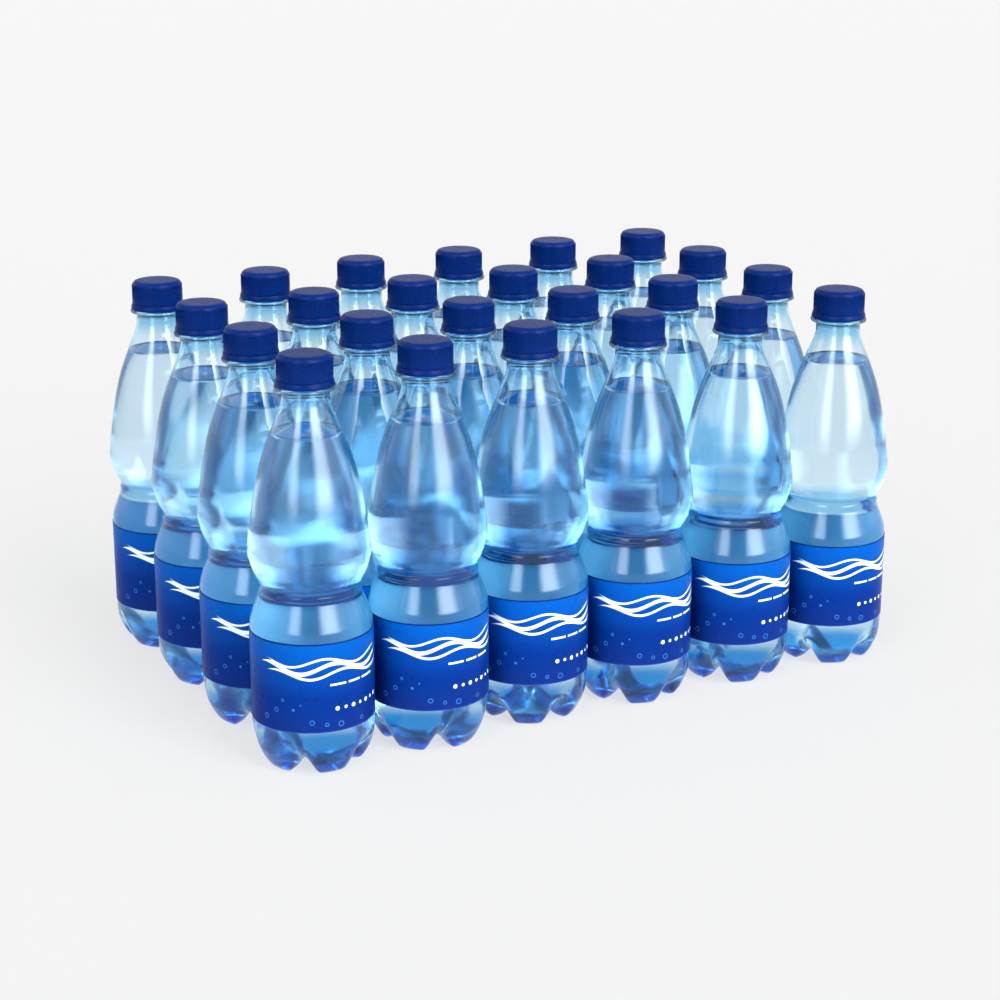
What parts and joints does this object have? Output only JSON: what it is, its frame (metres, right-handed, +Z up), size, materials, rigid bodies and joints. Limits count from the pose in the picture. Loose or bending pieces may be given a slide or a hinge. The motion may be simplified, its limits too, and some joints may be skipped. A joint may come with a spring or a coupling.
{
  "type": "case of sparkling water bottles",
  "caption": "A block of clear half-litre sparkling water bottles with blue wrap labels, navy screw caps and five-footed bases, standing in straight rows.",
  "frame": {"origin": "bottom centre of the block's bounding box, on the ground the bottles stand on", "axes": "+Z up, +X along the rows of six bottles, which is the longest extent, +Y from the front row to the back row"},
  "size_m": [0.4094, 0.2884, 0.226],
  "materials": {
    "clear_bottle": "clear, slightly blue PET, glossy and smooth",
    "water": "clear sparkling water",
    "label_film": null,
    "cap_plastic": "navy moulded plastic with fine grip ribs, satin"
  },
  "bodies": {
    "root": {"bottle_1_1": "clear_bottle", "cap_1_1": "cap_plastic", "bottle_1_2": "clear_bottle", "cap_1_2": "cap_plastic", "bottle_1_3": "clear_bottle", "cap_1_3": "cap_plastic", "bottle_1_4": "clear_bottle", "cap_1_4": "cap_plastic", "bottle_2_1": "clear_bottle", "cap_2_1": "cap_plastic", "bottle_2_2": "clear_bottle", "cap_2_2": "cap_plastic", "bottle_2_3": "clear_bottle", "cap_2_3": "cap_plastic", "bottle_2_4": "clear_bottle", "cap_2_4": "cap_plastic", "bottle_3_1": "clear_bottle", "cap_3_1": "cap_plastic", "bottle_3_2": "clear_bottle", "cap_3_2": "cap_plastic", "bottle_3_3": "clear_bottle", "cap_3_3": "cap_plastic", "bottle_3_4": "clear_bottle", "cap_3_4": "cap_plastic", "bottle_4_1": "clear_bottle", "cap_4_1": "cap_plastic", "bottle_4_2": "clear_bottle", "cap_4_2": "cap_plastic", "bottle_4_3": "clear_bottle", "cap_4_3": "cap_plastic", "bottle_4_4": "clear_bottle", "cap_4_4": "cap_plastic", "bottle_5_1": "clear_bottle", "cap_5_1": "cap_plastic", "bottle_5_2": "clear_bottle", "cap_5_2": "cap_plastic", "bottle_5_3": "clear_bottle", "cap_5_3": "cap_plastic", "bottle_5_4": "clear_bottle", "cap_5_4": "cap_plastic", "bottle_6_1": "clear_bottle", "cap_6_1": "cap_plastic", "bottle_6_2": "clear_bottle", "cap_6_2": "cap_plastic", "bottle_6_3": "clear_bottle", "cap_6_3": "cap_plastic", "bottle_6_4": "clear_bottle", "cap_6_4": "cap_plastic"}
  },
  "joints": []
}
